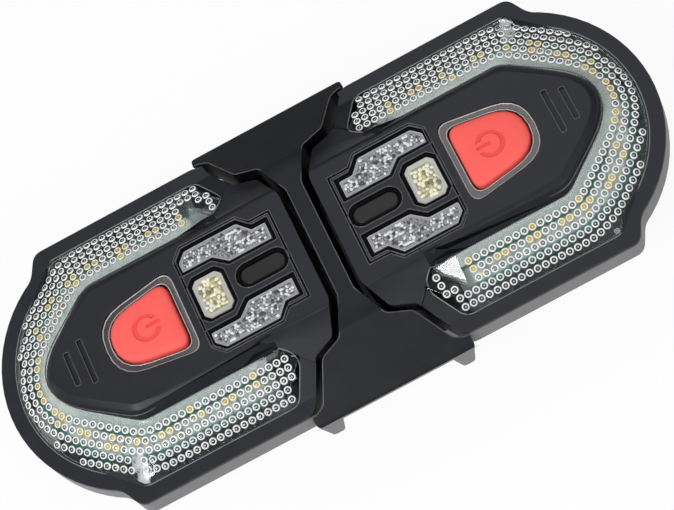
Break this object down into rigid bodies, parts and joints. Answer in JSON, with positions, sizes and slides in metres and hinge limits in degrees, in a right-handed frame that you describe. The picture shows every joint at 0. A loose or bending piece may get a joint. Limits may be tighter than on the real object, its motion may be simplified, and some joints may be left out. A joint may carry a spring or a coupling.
{
  "type": "bicycle turn signal light",
  "caption": "Pair of wireless turn signal lights with beaded clear light bands and red push buttons, docked end to end on a seat-post bracket with strap lugs.",
  "frame": {"origin": "middle of the assembly, at the level of the saddle's lowest edges", "axes": "+Z out of the light's face, +X along the pair of lights, +Y along the seat post"},
  "size_m": [0.1316, 0.0592, 0.0287],
  "materials": {
    "black_plastic": "satin moulded",
    "grey_plastic": "satin moulded",
    "clear_plastic": "clear, beaded",
    "frosted_plastic": "frosted",
    "dark_plastic": "dark tinted",
    "smoked_plastic": "smoked clear",
    "red_silicone": "matt silicone",
    "black_rubber": "matt",
    "steel": "plain",
    "board_green": "solder mask",
    "amber_chip": "phosphor",
    "white_chip": "phosphor",
    "yellow_chip": "phosphor",
    "chip_black": "moulded",
    "plunger_white": "moulded",
    "battery_foil": "foil pouch"
  },
  "bodies": {
    "bracket": {"bracket_cover": "black_plastic", "bracket_base": "grey_plastic", "saddle_pad": "black_rubber", "bracket_screws": "steel"},
    "left_light": {"left_front_case": "black_plastic", "left_lens": "clear_plastic", "left_side_windows": "frosted_plastic", "left_status_window": "frosted_plastic", "left_receiver_window": "dark_plastic", "left_button_bezel": "smoked_plastic", "left_rear_case": "grey_plastic", "left_case_seal": "black_rubber", "left_case_screws": "steel", "left_circuit_board": "board_green", "left_amber_leds": "amber_chip", "left_centre_leds": "white_chip", "left_status_leds": "yellow_chip", "left_control_chips": "chip_black", "left_tact_switch": "chip_black", "left_battery": "battery_foil", "left_usb_port": "steel"},
    "left_button": {"left_button": "red_silicone", "left_switch_plunger": "plunger_white"},
    "left_port_cover": {"left_port_cover": "black_rubber"},
    "right_light": {"right_front_case": "black_plastic", "right_lens": "clear_plastic", "right_side_windows": "frosted_plastic", "right_status_window": "frosted_plastic", "right_receiver_window": "dark_plastic", "right_button_bezel": "smoked_plastic", "right_rear_case": "grey_plastic", "right_case_seal": "black_rubber", "right_case_screws": "steel", "right_circuit_board": "board_green", "right_amber_leds": "amber_chip", "right_centre_leds": "white_chip", "right_status_leds": "yellow_chip", "right_control_chips": "chip_black", "right_tact_switch": "chip_black", "right_battery": "battery_foil", "right_usb_port": "steel"},
    "right_button": {"right_button": "red_silicone", "right_switch_plunger": "plunger_white"},
    "right_port_cover": {"right_port_cover": "black_rubber"}
  },
  "joints": [
    {"name": "left_light_slide", "type": "slide", "parent": "bracket", "child": "left_light", "axis": [-1, 0, 0], "range_m": [0, 0.024]},
    {"name": "left_button_press", "type": "slide", "parent": "left_light", "child": "left_button", "axis": [0, 0, -1], "range_m": [0, 0.0008], "stiffness_N_per_m": 900},
    {"name": "left_port_cover_hinge", "type": "hinge", "parent": "left_light", "child": "left_port_cover", "pos_m": [-0.0471, 0, 0.01335], "axis": [0, -1, 0], "range_deg": [0, 110]},
    {"name": "right_light_slide", "type": "slide", "parent": "bracket", "child": "right_light", "axis": [1, 0, 0], "range_m": [0, 0.024]},
    {"name": "right_button_press", "type": "slide", "parent": "right_light", "child": "right_button", "axis": [0, 0, -1], "range_m": [0, 0.0008], "stiffness_N_per_m": 900},
    {"name": "right_port_cover_hinge", "type": "hinge", "parent": "right_light", "child": "right_port_cover", "pos_m": [0.0471, 0, 0.01335], "axis": [0, 1, 0], "range_deg": [0, 110]}
  ]
}
